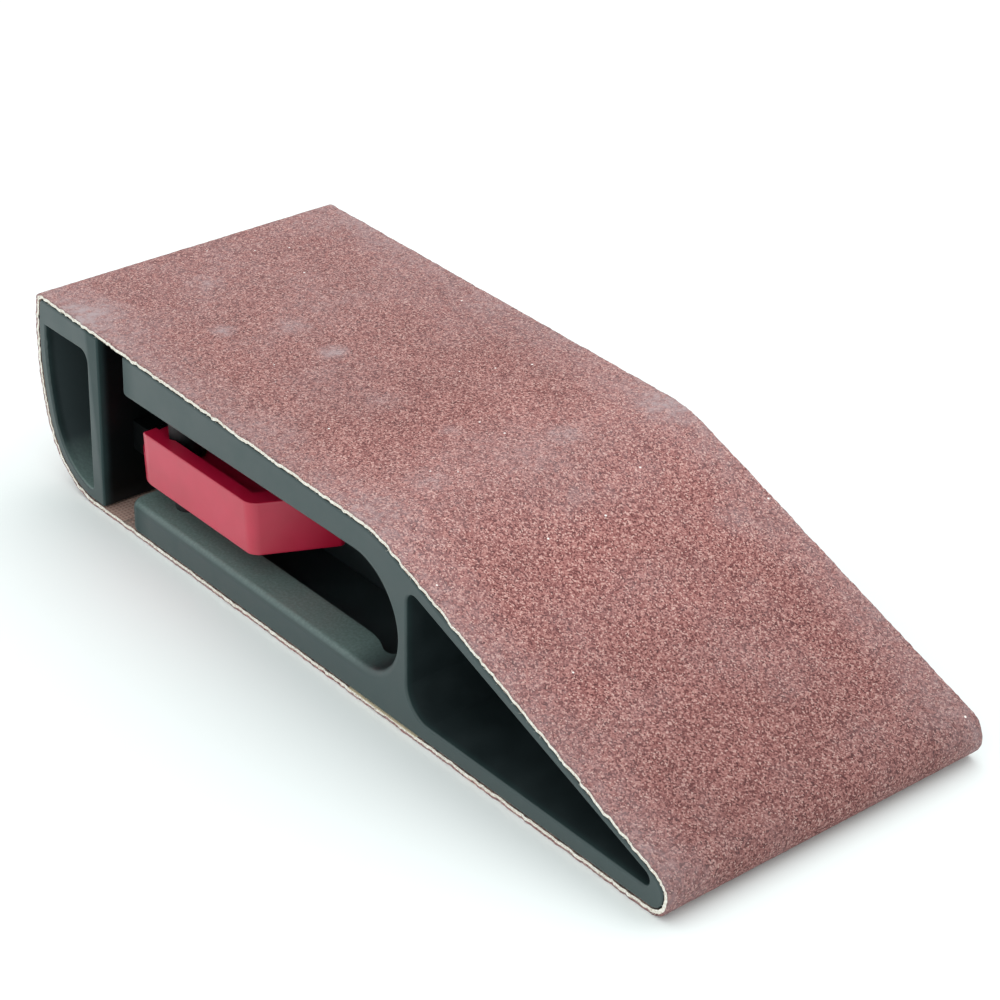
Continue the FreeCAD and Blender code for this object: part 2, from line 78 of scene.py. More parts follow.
# The loose yarn ends along the cut edges.
FIBRES_PER_SIDE = 520
FIBRE_RADIUS = 0.035 * MM
FIBRE_TAPER = 0.7                 # how much of its radius a fibre loses by its tip
FIBRE_LENGTHS = (0.35, 0.95)      # in mm
FIBRE_DEPTHS = (0.3, 0.9)         # where fibres start, as shares of the belt's thickness
FIBRE_SPREAD = 0.9                # how far a fibre leans along the edge, against one outward
FIBRE_LIFT = 0.25                 # how far it leans up or down
FIBRE_CURL = 0.5                  # how far its tip bends along the edge
FIBRE_GUIDE = (0.3, 0.5, 0.8)     # a slanting direction that sets where a ring starts
FIBRE_SIDES = 3
FIBRE_JOINTS = 4

TAPE_COLUMNS = 12
TAPE_ROWS = 40
TAPE_CREASE = 0.04 * MM

SPLICE_LEAN = 25.0                # degrees off square, as belts are joined
SPLICE_GROOVE = 0.16 * MM         # half the width of the line where the belt's ends meet

# ---- the take-up spring ----------------------------------------------------------

SPRING_WIRE_RADIUS = 0.7 * MM
SPRING_TURNS = 9
SPRING_STEPS = 36                 # rings of points in one turn
SPRING_SIDES = 12

# ---- camera, floor and light -------------------------------------------------------

CAMERA_PLACE = (0.36272, -0.26675, 0.27272)
CAMERA_TURN = (61.065, 1.287, 52.106)     # degrees about X, Y and Z
CAMERA_LENS = 92.96                       # mm
CAMERA_SENSOR = 36.0                      # mm
CAMERA_CLIP = (0.01, 20.0)

FLOOR_REACH = 4.0
FLOOR_COLOUR = (0.85, 0.875, 0.872, 1.0)
SKY_COLOUR = (0.945, 1.0, 0.995, 1.0)
SKY_STRENGTH = 1.16
SOFTBOX_PLACE = (0.05, 0.20, 0.85)
SOFTBOX_SIZE = 0.9
SOFTBOX_POWER = 2.4               # watts


# ---- helpers ------------------------------------------------------------------

def mesh_piece(name, points, faces, materials, face_materials=None):
    """A new object from points in the row frame and faces that face outward."""
    mesh = bpy.data.meshes.new(name)
    mesh.from_pydata([tuple(p) for p in points], [], [tuple(f) for f in faces])
    for material in materials:
        mesh.materials.append(material)
    if face_materials is not None:
        mesh.polygons.foreach_set("material_index", np.asarray(face_materials, np.int32))
    mesh.validate()
    mesh.update()
    piece = bpy.data.objects.new(name, mesh)
    bpy.context.scene.collection.objects.link(piece)
    return piece


def shade_smooth(piece, sharp_degrees):
    """Smooth shading, with an edge left sharp where the faces turn by more than an angle."""
    mesh = piece.data
    mesh.polygons.foreach_set("use_smooth", np.ones(len(mesh.polygons), bool))
    mesh.set_sharp_from_angle(angle=math.radians(sharp_degrees))


def tube_faces(rings, sides, first=0):
    """The skin and both ends of a tube, whose rings of points start at number first.

    The faces face outward if a ring turns anticlockwise, seen from where the tube is going.
    """
    faces = []
    for ring in range(rings - 1):
        for side in range(sides):
            a = first + ring * sides + side
            b = first + ring * sides + (side + 1) % sides
            faces.append((a, b, b + sides, a + sides))
    last = first + (rings - 1) * sides
    faces.append(tuple(range(first + sides - 1, first - 1, -1)))
    faces.append(tuple(range(last, last + sides)))
    return faces


def slab_faces(columns, rows):
    """The faces of a slab whose points are two levels of rows of columns, the lower level first."""
    stride = columns + 1
    level = stride * (rows + 1)
    faces = []
    for row in range(rows):
        for column in range(columns):
            a = row * stride + column
            b = a + stride
            faces.append((a, b, b + 1, a + 1))
            faces.append((level + a, level + a + 1, level + b + 1, level + b))
    rim = [(0, column) for column in range(columns)]
    rim += [(row, columns) for row in range(rows)]
    rim += [(rows, column) for column in range(columns, 0, -1)]
    rim += [(row, 0) for row in range(rows, 0, -1)]
    around = [row * stride + column for row, column in rim]
    for a, b in zip(around, around[1:] + around[:1]):
        faces.append((a, b, level + b, level + a))
    return faces


class Shading:
    """A material's node tree, with short ways to add nodes and join them."""

    def __init__(self, name):
        self.material = bpy.data.materials.new(name)
        self.material.use_nodes = True
        self.tree = self.material.node_tree
        self.shader = self.tree.nodes["Principled BSDF"]
        self.place = self.add("ShaderNodeTexCoord").outputs["Object"]

    def add(self, kind, inputs=None, **settings):
        """A node with its settings made and its inputs joined or given a number."""
        node = self.tree.nodes.new(kind)
        for key, value in settings.items():
            setattr(node, key, value)
        for key, value in (inputs or {}).items():
            self.put(value, node.inputs[key])
        return node

    def put(self, value, socket):
        """Joins a socket to another node's output, or sets its number."""
        if isinstance(value, bpy.types.NodeSocket):
            self.tree.links.new(value, socket)
        else:
            socket.default_value = value

    def set(self, **values):
        """Sets the Principled shader's sockets, named with _ for a space."""
        for key, value in values.items():
            self.put(value, self.shader.inputs[key.replace("_", " ")])

    def noise(self, size, detail=2.0):
        """Smooth noise, from 0 to 1, whose blobs are about size metres across."""
        inputs = {"Vector": self.place, "Scale": 1 / size, "Detail": detail}
        return self.add("ShaderNodeTexNoise", inputs).outputs["Fac"]

    def cells(self, size):
        """Cells about size metres across: (a random number for each, the distance from its middle)."""
        node = self.add("ShaderNodeTexVoronoi", {"Vector": self.place, "Scale": 1 / size})
        channels = self.add("ShaderNodeSeparateColor", {"Color": node.outputs["Color"]})
        return channels.outputs["Red"], node.outputs["Distance"]

    def waves(self, vector, scale, distortion, direction):
        """Parallel bands across one direction, from 0 to 1."""
        inputs = {"Vector": vector, "Scale": scale, "Distortion": distortion}
        return self.add("ShaderNodeTexWave", inputs, bands_direction=direction).outputs["Fac"]

    def math(self, operation, a, b=0.0, clamp=False):
        """One calculation on one or two values."""
        node = self.add("ShaderNodeMath", {0: a, 1: b}, operation=operation, use_clamp=clamp)
        return node.outputs[0]

    def total(self, first, *others):
        """Several values added up."""
        for other in others:
            first = self.math("ADD", first, other)
        return first

    def product(self, first, *others):
        """Several values multiplied."""
        for other in others:
            first = self.math("MULTIPLY", first, other)
        return first

    def size_of(self, value):
        """A value without its sign."""
        return self.math("ABSOLUTE", value)

    def distance(self, point):
        """How far each place is from one point."""
        node = self.add("ShaderNodeVectorMath", {0: self.place, 1: point}, operation="DISTANCE")
        return node.outputs["Value"]

    def scaled(self, value, low, high, to_low=0.0, to_high=1.0):
        """A value turned from one range to another, and held inside it."""
        inputs = {0: value, 1: low, 2: high, 3: to_low, 4: to_high}
        return self.add("ShaderNodeMapRange", inputs).outputs[0]

    def mixed(self, share, a, b, blend="MIX"):
        """Two colours mixed by a share from 0 to 1."""
        inputs = {0: share, 6: a, 7: b}
        return self.add("ShaderNodeMix", inputs, data_type="RGBA", blend_type=blend).outputs[2]

    def ramp(self, value, stops):
        """A colour ramp through (place, colour) stops."""
        node = self.add("ShaderNodeValToRGB", {0: value})
        elements = node.color_ramp.elements
        while len(elements) < len(stops):
            elements.new(0.5)
        for element, (place, colour) in zip(elements, stops):
            element.position = place
            element.color = colour
        return node.outputs[0]

    def bump(self, height, depth, strength=1.0, after=None):
        """A bump from a height between 0 and 1 that stands for a depth in metres."""
        inputs = {"Height": height, "Distance": depth, "Strength": strength}
        node = self.add("ShaderNodeBump", inputs)
        if after is not None:
            self.put(after, node.inputs["Normal"])
        return node.outputs["Normal"]

    def parts(self, vector):
        """The X, Y and Z of a vector."""
        return self.add("ShaderNodeSeparateXYZ", {0: vector}).outputs


def rgb(red, green, blue):
    """A linear colour from sRGB numbers out of 255."""
    def linear(value):
        share = value / 255
        return share / 12.92 if share <= 0.04045 else ((share + 0.055) / 1.055) ** 2.4
    return linear(red), linear(green), linear(blue), 1.0


MOST_OF_NOISE = (0.3, 0.7)        # where most of a noise's values lie


def tones(dark, light):
    """The stops of a ramp from one colour to another over most of a noise."""
    return tuple(zip(MOST_OF_NOISE, (dark, light)))


# ---- the belt's materials ----------------------------------------------------------
#
# Four numbers in a row say what a value is turned from, low and high, and what it is turned to.

GRAIN = 0.30 * MM                 # across one grain of the abrasive
FINE_GRAIN = 0.22 * MM
GRAIN_SHARE = 0.60                # of the tone that each grain has as its own
GRAIN_HEIGHT = 0.16 * MM
GRAIN_DOME = (0.0, 0.75, 1.0, 0.0)        # by distance from the grain's middle, in grains
FINE_HEIGHT = 0.05 * MM
GRIT_TONES = (
    (0.16, rgb(79, 32, 33)),
    (0.34, rgb(127, 69, 67)),
    (0.52, rgb(165, 105, 100)),
    (0.70, rgb(195, 137, 130)),
    (0.88, rgb(240, 202, 192)),
)

BLOCK_ENDS = (-105 * MM, 105 * MM)
PAINTED_FALLOFF = (                    # painted light and shade along the block, from the heel (0) to the nose (1): lightest round the kink, darkest at the nose
    (0.00, 0.78),
    (0.42, 0.75),
    (0.56, 0.88),
    (0.66, 0.88),
    (0.79, 0.80),
    (0.93, 0.68),
    (1.00, 0.58),
)
BROAD_CLOUD = 9 * MM
BROAD_SPAN = (0.35, 0.65, 0.95, 1.04)

GRIT_DUST = rgb(166, 146, 148)
KINK_X = 20 * MM                  # where the top turns down into the slope
DUST_PATCH = 1.6 * MM             # the dust is broken into patches of this size
PATCH_SPAN = (0.3, 0.7, 0.30, 1.0)
DUST_CLOUD = 16 * MM
CLOUD_DUST = (0.46, 0.74, 0.0, 0.22)
EDGE_DUST = (26.0 * MM, 37.5 * MM, 0.0, 0.36)     # by distance from the middle of the belt
HEEL_DUST = (10 * MM, -90 * MM, 0.04, 0.24)       # by x
KINK_DUST = (22 * MM, 2 * MM, 0.0, 0.22)          # by distance from the kink
DUSTY_SPOTS = (                   # dusty marks on the grit: (x, y, z, radius) in mm, and how strong
    (-85, -35, 45.5, 10.0, 0.80),
    (-83, -7, 45.4, 5.5, 0.40),
    (-61, -16.5, 44.6, 3.6, 0.85),
    (-54, -4, 44.4, 5.0, 0.50),
    (-39, -4, 43.8, 4.2, 1.00),
    (-16, -8.5, 43, 4.0, 0.30),
    (2, -5, 42.3, 3.2, 0.35),
    (17, 12, 41.7, 5.0, 0.50),
    (15, -19.5, 41.8, 5.0, 0.35),
    (20, 36, 41.5, 8.0, 0.42),
    (49, 27, 31, 6.0, 0.40),
    (32, 2, 38, 4.0, 0.25),
)

# painted glints: near-white colour on single grains, standing in for light caught by them
PAINTED_GLINT = rgb(244, 232, 228)
GLINT_CELL = 3.2 * MM             # at most one painted glint in each cell this size
GLINT_CHOICE = (0.90, 0.91)       # one cell in ten has one
GLINT_REACH = (0.09, 0.06)        # how far it reaches from the cell's middle
SPLICE_LINE = rgb(58, 30, 30)
SOLE_ONLY = (0.3 * MM, 0.5 * MM, 1.0, 0.0)        # by height

YARN = 0.35 * MM
YARN_HEIGHT = 0.12 * MM
YARN_TONES = (
    (0.30, rgb(186, 168, 152)),
    (0.46, rgb(228, 220, 206)),
    (0.66, rgb(248, 245, 238)),
)

WEFT_SCALE, WARP_SCALE = 0.30, 0.36       # bands of yarn, against UVs in mm
WEAVE_WAVER = 1.2
WEAVE_SHARE = 0.7                 # of the cloth's tone; the rest is stains
WEAVE_HEIGHT = 0.10 * MM
STAIN = 5 * MM
BACKING_TONES = (
    (0.25, rgb(140, 106, 96)),
    (0.60, rgb(160, 126, 114)),
    (0.90, rgb(178, 148, 134)),
)

THREAD_SCALE = 420.0              # bands of thread, against metres
THREAD_WAVER = 0.8
THREAD_HEIGHT = 0.02 * MM
TAPE_CLOUD = 3 * MM
TAPE_TONES = ((0.2, rgb(190, 170, 136)), (0.8, rgb(226, 212, 184)))


def painted_grit_falloff(s, x):
    """Painted light and shade along the block, darkest at the nose, with broad clouds of tone over it,
    as a grey.
    """
    broad = s.scaled(s.noise(BROAD_CLOUD, 3.0), *BROAD_SPAN)
    greys = [(share, (level, level, level, 1.0)) for share, level in PAINTED_FALLOFF]
    shade = s.product(broad, s.ramp(s.scaled(x, *BLOCK_ENDS), greys))
    return s.add("ShaderNodeCombineXYZ", {0: shade, 1: shade, 2: shade}).outputs[0]


def grit_dust(s, x, y):
    """How dusty the grit is: in clouds, at the worn edges, heel and kink, and in spots."""
    patches = s.scaled(s.noise(DUST_PATCH, 3.0), *PATCH_SPAN)
    clouds = s.scaled(s.noise(DUST_CLOUD, 4.0), *CLOUD_DUST)
    edges = s.scaled(s.size_of(y), *EDGE_DUST)
    heel = s.scaled(x, *HEEL_DUST)
    kink = s.scaled(s.size_of(s.math("SUBTRACT", x, KINK_X)), *KINK_DUST)
    dust = s.total(clouds, edges, heel, kink)
    for spot_x, spot_y, spot_z, radius, strength in DUSTY_SPOTS:
        away = s.distance((spot_x * MM, spot_y * MM, spot_z * MM))
        dust = s.total(dust, s.scaled(away, radius * MM, 0.0, 0.0, strength))
    return s.math("MULTIPLY", dust, patches, clamp=True)


def painted_glints(s):
    """Painted glints: single grains made near white, as if catching the light."""
    chosen, reach = s.cells(GLINT_CELL)
    return s.product(s.scaled(chosen, *GLINT_CHOICE), s.scaled(reach, *GLINT_REACH))


def splice_middle():
    """The x of the middle of the belt's joint."""
    low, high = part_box("belt_splice_tape")
    return (low.x + high.x) / 2


def splice_line(s, x, y, z):
    """The slanting line across the sole where the belt's two ends meet."""
    across = s.math("SUBTRACT", x, s.product(y, math.tan(math.radians(SPLICE_LEAN))))
    from_line = s.size_of(s.math("SUBTRACT", across, splice_middle()))
    line = s.scaled(from_line, SPLICE_GROOVE, 2 * SPLICE_GROOVE, 1.0, 0.0)
    return s.product(line, s.scaled(z, *SOLE_ONLY))


def abrasive_grit():
    """Aluminium oxide grains in maroon resin, dusty along the worn edges and towards the heel, with
    painted light falling off towards the nose and painted glints on single grains.
    """
    s = Shading("abrasive_grit")
    x, y, z = s.parts(s.place)
    tone, reach = s.cells(GRAIN)
    fine = s.noise(FINE_GRAIN)
    blend = s.total(s.product(tone, GRAIN_SHARE), s.product(fine, 1 - GRAIN_SHARE))
    # painted light and shade along the block is multiplied in here
    colour = s.mixed(1.0, s.ramp(blend, GRIT_TONES), painted_grit_falloff(s, x), "MULTIPLY")
    colour = s.mixed(grit_dust(s, x, y), colour, GRIT_DUST)
    # painted glints on single grains
    colour = s.mixed(painted_glints(s), colour, PAINTED_GLINT)
    colour = s.mixed(splice_line(s, x, y, z), colour, SPLICE_LINE)
    coarse = s.bump(s.scaled(reach, *GRAIN_DOME), GRAIN_HEIGHT, 0.6)
    s.set(Base_Color=colour, Roughness=0.75, Specular_IOR_Level=0.3)
    s.set(Normal=s.bump(fine, FINE_HEIGHT, 0.5, after=coarse))
    return s.material


def cut_cloth():
    """The belt's cut edge: off-white yarn ends, tinted by the resin."""
    s = Shading("cut_cloth")
    yarn = s.noise(YARN, 3.0)
    s.set(Base_Color=s.ramp(yarn, YARN_TONES), Roughness=0.9, Sheen_Weight=0.3)
    s.set(Normal=s.bump(yarn, YARN_HEIGHT, 0.8))
    return s.material


def backing_cloth():
    """The belt's inner face: a tan twill with resin soaked into it."""
    s = Shading("backing_cloth")
    flat = s.add("ShaderNodeUVMap", uv_map="UVMap").outputs[0]
    across = s.waves(flat, WEFT_SCALE, WEAVE_WAVER, "X")
    along = s.waves(flat, WARP_SCALE, WEAVE_WAVER, "Y")
    weave = s.math("MAXIMUM", across, along)
    stains = s.noise(STAIN, 4.0)
    tone = s.total(s.product(weave, WEAVE_SHARE), s.product(stains, 1 - WEAVE_SHARE))
    s.set(Base_Color=s.ramp(tone, BACKING_TONES), Roughness=0.85, Sheen_Weight=0.2)
    s.set(Normal=s.bump(weave, WEAVE_HEIGHT, 0.7))
    return s.material


def splice_film():
    """The woven strip over the belt's joint: pale, smooth, slightly glossy."""
    s = Shading("splice_film")
    threads = s.waves(s.place, THREAD_SCALE, THREAD_WAVER, "Y")
    cloud = s.noise(TAPE_CLOUD, 3.0)
    tone = s.total(s.product(threads, 0.5), s.product(cloud, 0.5))
    s.set(Base_Color=s.ramp(tone, TAPE_TONES))
    s.set(Roughness=s.scaled(cloud, *MOST_OF_NOISE, 0.35, 0.5))
    s.set(Normal=s.bump(threads, THREAD_HEIGHT, 0.5))
    return s.material


# ---- the other materials -----------------------------------------------------------

BODY_CLOUD = 6 * MM
BODY_SPECK = 0.6 * MM
BODY_GRAIN = 0.16 * MM            # the moulded texture
BODY_GRAIN_HEIGHT = 0.02 * MM
BODY_TONES = tones(rgb(29, 38, 40), rgb(37, 47, 49))
# painted light: the heel pocket's inner faces are made lighter than the other inner faces, as lit
HEEL_POCKET_PAINTED_LIGHT = rgb(56, 66, 68)
# painted shade: near-black colour in the gap between heel and arm, where shade falls
GAP_PAINTED_SHADE = rgb(8, 11, 12)
# painted light: the outer side faces are made lighter in patches, while the inner faces keep the darker
# base as if in shade
SIDE_FACE_PAINTED_LIGHT = rgb(44, 62, 62)
BODY_DUST = rgb(108, 128, 124)

# Where each tone of the body fades in. A y is a distance from the block's middle.
HEEL_POCKET_X = (-83.5 * MM, -86.0 * MM)
HEEL_POCKET_Y = (36.6 * MM, 35.6 * MM)
GAP_FRONT_X = (-62.0 * MM, -67.0 * MM)
GAP_REAR_X = (-82.0 * MM, -80.8 * MM)
GAP_Y = (37.0 * MM, 35.5 * MM)
SIDE_FACE_Y = (36.2 * MM, 37.6 * MM)
SIDE_LIGHT_SHARE = (0.75, 1.0)
UPWARD = (0.4, 1.0)
LEDGE_X = (20.0 * MM, 10.0 * MM)
LEDGE_Y = (27.5 * MM, 30.0 * MM)
LEDGE_Z = (12.0 * MM, 10.0 * MM)
LEDGE_SPECKS = (0.38, 0.66, 0.70, 1.0)

LEVER_CLOUD = 8 * MM
LEVER_MARKS = 5 * MM
LEVER_MARK_SPAN = (0.35, 0.7, 0.28, 0.33)
LEVER_RIPPLE = 4 * MM
LEVER_RIPPLE_HEIGHT = 0.02 * MM
LEVER_TONES = tones(rgb(182, 14, 52), rgb(194, 22, 62))

METAL_MARKS = 0.3 * MM
METAL_STAIN = 4 * MM
METAL_MARK_HEIGHT = 0.008 * MM
METAL_ROUGHENING = 0.15           # how much rougher metal is in its marks

NYLON_CLOUD = 1.5 * MM
NYLON_GRAIN = 0.12 * MM
NYLON_GRAIN_HEIGHT = 0.01 * MM
NYLON_TONES = tones(rgb(14, 15, 17), rgb(24, 25, 27))


def ledge_dust(s, x, y, z):
    """Dust on what faces upward on the lower plate's outer ledge."""
    upward = s.scaled(s.parts(s.add("ShaderNodeNewGeometry").outputs["Normal"])["Z"], *UPWARD)
    ledge = s.product(s.scaled(x, *LEDGE_X), s.scaled(y, *LEDGE_Y), s.scaled(z, *LEDGE_Z))
    return s.product(upward, ledge, s.scaled(s.noise(BODY_SPECK, 3.0), *LEDGE_SPECKS))


def body_plastic():
    """Black plastic with a fine moulded texture, with painted light on its side faces and in the heel
    pocket, painted shade in the gap between heel and arm, and dust on its ledges.
    """
    s = Shading("body_plastic")
    x, y, z = s.parts(s.place)
    y = s.size_of(y)
    cloud = s.noise(BODY_CLOUD, 4.0)
    heel_painted_light = s.product(s.scaled(x, *HEEL_POCKET_X), s.scaled(y, *HEEL_POCKET_Y))
    by_gap = s.product(s.scaled(x, *GAP_FRONT_X), s.scaled(x, *GAP_REAR_X))
    gap_painted_shade = s.product(by_gap, s.scaled(y, *GAP_Y))
    # painted light on the outer side faces
    side_painted_light = s.product(s.scaled(y, *SIDE_FACE_Y), s.scaled(cloud, *MOST_OF_NOISE, *SIDE_LIGHT_SHARE))
    # painted light in the heel pocket
    colour = s.mixed(heel_painted_light, s.ramp(cloud, BODY_TONES), HEEL_POCKET_PAINTED_LIGHT)
    # painted shade in the gap between heel and arm
    colour = s.mixed(gap_painted_shade, colour, GAP_PAINTED_SHADE)
    colour = s.mixed(side_painted_light, colour, SIDE_FACE_PAINTED_LIGHT)
    colour = s.mixed(ledge_dust(s, x, y, z), colour, BODY_DUST)
    s.set(Base_Color=colour, Roughness=s.scaled(cloud, *MOST_OF_NOISE, 0.36, 0.46), IOR=1.55)
    # the gap is also made less specular, to darken it as shade
    s.set(Specular_IOR_Level=s.scaled(by_gap, 0.0, 1.0, 0.5, 0.15))
    s.set(Normal=s.bump(s.noise(BODY_GRAIN), BODY_GRAIN_HEIGHT, 0.5))
    return s.material


def lever_plastic():
    """Glossy red moulded plastic with faint handling marks."""
    s = Shading("lever_plastic")
    s.set(Base_Color=s.ramp(s.noise(LEVER_CLOUD, 3.0), LEVER_TONES))
    s.set(Roughness=s.scaled(s.noise(LEVER_MARKS, 1.0), *LEVER_MARK_SPAN))
    s.set(IOR=1.52, Specular_IOR_Level=0.75)
    s.set(Normal=s.bump(s.noise(LEVER_RIPPLE, 0.0), LEVER_RIPPLE_HEIGHT, 0.3))
    return s.material


def metal(name, dark, light, roughness):
    """Turned or ground metal, with fine marks and faint stains."""
    s = Shading(name)
    marks = s.noise(METAL_MARKS, 3.0)
    colour = s.ramp(s.noise(METAL_STAIN, 3.0), tones(dark, light))
    s.set(Base_Color=colour, Metallic=1.0)
    s.set(Roughness=s.scaled(marks, *MOST_OF_NOISE, roughness, roughness + METAL_ROUGHENING))
    s.set(Normal=s.bump(marks, METAL_MARK_HEIGHT, 0.5))
    return s.material


def spacer_nylon():
    """Plain black nylon with a turned finish."""
    s = Shading("spacer_nylon")
    cloud = s.noise(NYLON_CLOUD, 3.0)
    s.set(Base_Color=s.ramp(cloud, NYLON_TONES))
    s.set(Roughness=s.scaled(cloud, *MOST_OF_NOISE, 0.42, 0.55))
    s.set(Normal=s.bump(s.noise(NYLON_GRAIN), NYLON_GRAIN_HEIGHT, 0.5))
    return s.material


# ---- the abrasive belt -------------------------------------------------------------

GRIT, CUT_EDGE, INNER_FACE = 0, 1, 2      # the belt's material slots


def belt_outline():
    """The belt's outer face as a closed (x, z) loop, read from the CAD belt. It is convex all round."""
    corners = sorted({(v.co.x, v.co.z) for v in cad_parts["sanding_belt"].data.vertices})
    hull = geometry.convex_hull_2d([Vector(corner) for corner in corners])
    return np.array([corners[i] for i in hull])


def stations_round(loop, count):
    """Evenly spaced points round a closed loop, with their outward normals, and the loop's length."""
    closed = np.vstack([loop, loop[:1]])
    steps = np.linalg.norm(np.diff(closed, axis=0), axis=1)
    along = np.concatenate([[0], np.cumsum(steps)])
    at = np.linspace(0, along[-1], count, endpoint=False)
    points = np.column_stack([np.interp(at, along, closed[:, axis]) for axis in (0, 1)])
    ahead = np.roll(points, -1, 0) - np.roll(points, 1, 0)
    ahead /= np.linalg.norm(ahead, axis=1)[:, None]
    normals = np.column_stack([ahead[:, 1], -ahead[:, 0]])
    return points, normals, along[-1]


def wandering(rng, count, reach):
    """Random numbers from -1 to 1 round a closed loop, smoothed over reach neighbours."""
    kernel = np.hanning(reach + 2)[1:-1]
    spectrum = np.fft.fft(rng.uniform(-1, 1, count)) * np.fft.fft(kernel, count)
    smooth = np.fft.ifft(spectrum).real
    return smooth / np.abs(smooth).max()


def cut_edge(rng, half):
    """Where one cut edge runs at each station, measured from the belt's middle."""
    wander = EDGE_WANDER * wandering(rng, STATIONS, WANDER_REACH)
    jag = EDGE_JAG * wandering(rng, STATIONS, JAG_REACH)
    nicks = EDGE_NICK * rng.uniform(0, 1, STATIONS) ** 2
    return half - EDGE_WANDER - EDGE_JAG + wander + jag - nicks


def cut_rows(rng, edge):
    """The rows down a cut edge, from the grit to the inner face: (depth, distance from the middle)."""
    jitter = wandering(rng, STATIONS, JAG_REACH) + rng.uniform(-TUFT_JITTER, TUFT_JITTER, STATIONS)
    frayed = np.clip(jitter, TUFT_LOWEST, 1)
    rows = []
    for share in np.linspace(GRIT_SHARE, 1.0, EDGE_ROWS):
        out = TUFT * frayed * math.sin(math.pi * min(share, TUFT_FALLS_TO))
        down = DROOP * np.clip(frayed, 0, 1) * (share == 1.0)
        rows.append((share * BELT_THICKNESS + down, edge + out))
    return rows


def belt_rings(rng, half):
    """For each point of a ring round the belt's section: its depth and its y, at every station."""
    near, far = cut_edge(rng, half), cut_edge(rng, half)
    depths, ys = [], []
    for column in np.linspace(0, 1, GRIT_COLUMNS + 1):
        depths.append(GRIT_RELIEF * rng.uniform(0, 1, STATIONS))
        ys.append(-near + (near + far) * column)
    for depth, edge in cut_rows(rng, far):
        depths.append(depth)
        ys.append(edge)
    for column in np.linspace(1, 0, INNER_COLUMNS + 1):
        depths.append(BELT_THICKNESS - INNER_RELIEF * rng.uniform(0, 1, STATIONS))
        ys.append(-near + (near + far) * column)
    for depth, edge in reversed(cut_rows(rng, near)):
        depths.append(depth)
        ys.append(-edge)
    return np.array(depths).T, np.array(ys).T


def ring_materials(around):
    """The material slot of each face round the belt's section. The grit's own thickness is grit too."""
    inner_start = GRIT_COLUMNS + EDGE_ROWS + 1
    slots = np.full(around, CUT_EDGE)
    slots[:GRIT_COLUMNS + 1] = GRIT
    slots[-1] = GRIT
    slots[inner_start:inner_start + INNER_COLUMNS] = INNER_FACE
    return slots


def abrasive_belt(materials):
    """The endless belt: a grit face with real relief, ragged cut edges and a cloth inner face."""
    rng = np.random.default_rng(SEED)
    points, normals, length = stations_round(belt_outline(), STATIONS)
    depths, ys = belt_rings(rng, BELT_FLAT[0] / 2)
    around = depths.shape[1]
    x = points[:, :1] - normals[:, :1] * depths
    z = points[:, 1:] - normals[:, 1:] * depths
    vertices = np.stack([x, ys, z], axis=2).reshape(-1, 3)

    ring, slot = np.meshgrid(np.arange(STATIONS), np.arange(around), indexing="ij")
    next_ring, next_slot = (ring + 1) % STATIONS, (slot + 1) % around
    faces = np.stack([
        ring * around + slot,
        ring * around + next_slot,
        next_ring * around + next_slot,
        next_ring * around + slot,
    ], axis=2).reshape(-1, 4)
    face_materials = np.tile(ring_materials(around), STATIONS)
    belt = mesh_piece("abrasive_belt", vertices.tolist(), faces.tolist(), materials, face_materials)

    # UVs in millimetres: along the belt, and across it
    step = length / STATIONS / MM
    corner_ring = np.stack([ring, ring, ring + 1, ring + 1], axis=2).reshape(-1)
    corner_y = ys.reshape(-1)[faces.reshape(-1)] / MM
    corners = np.column_stack([corner_ring * step, corner_y]).ravel().astype(np.float32)
    belt.data.uv_layers.new(name="UVMap").data.foreach_set("uv", corners)
    shade_smooth(belt, sharp_degrees=50)
    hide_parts("sanding_belt")
    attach(belt, "belt")
    return belt


def fibre_points(rng, point, normal, side):
    """The rings of points of one loose yarn end, which tapers and curls along the edge."""
    depth = BELT_THICKNESS * rng.uniform(*FIBRE_DEPTHS)
    root_y = side * (BELT_FLAT[0] / 2 - TUFT - EDGE_WANDER)
    root = np.array([point[0] - normal[0] * depth, root_y, point[1] - normal[1] * depth])
    along = np.array([-normal[1], 0, normal[0]])
    lift = np.array([normal[0], 0, normal[1]])
    outward = np.array([0, side, 0])
    heading = outward + along * rng.normal(0, FIBRE_SPREAD) + lift * rng.normal(0, FIBRE_LIFT)
    heading /= np.linalg.norm(heading)
    curl = along * rng.normal(0, FIBRE_CURL)
    reach = rng.uniform(*FIBRE_LENGTHS) * MM
    across = np.cross(heading, FIBRE_GUIDE)
    across /= np.linalg.norm(across)
    upward = np.cross(heading, across)
    points = []
    for share in np.linspace(0, 1, FIBRE_JOINTS):
        middle = root + (heading + curl * share) * reach * share
        radius = FIBRE_RADIUS * (1 - FIBRE_TAPER * share)
        for turn in np.arange(FIBRE_SIDES) * 2 * math.pi / FIBRE_SIDES:
            points.append(middle + radius * (across * math.cos(turn) + upward * math.sin(turn)))
    return points


def edge_fibres(material):
    """Loose yarn ends that stand out of both cut edges."""
    rng = np.random.default_rng(SEED + 1)
    points, normals, _ = stations_round(belt_outline(), STATIONS)
    vertices, faces = [], []
    for side in (-1, 1):
        for _ in range(FIBRES_PER_SIDE):
            at = rng.integers(STATIONS)
            faces += tube_faces(FIBRE_JOINTS, FIBRE_SIDES, first=len(vertices))
            vertices += fibre_points(rng, points[at], normals[at], side)
    fibres = mesh_piece("belt_edge_fibres", vertices, faces, [material])
    shade_smooth(fibres, sharp_degrees=80)
    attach(fibres, "belt")
    return fibres


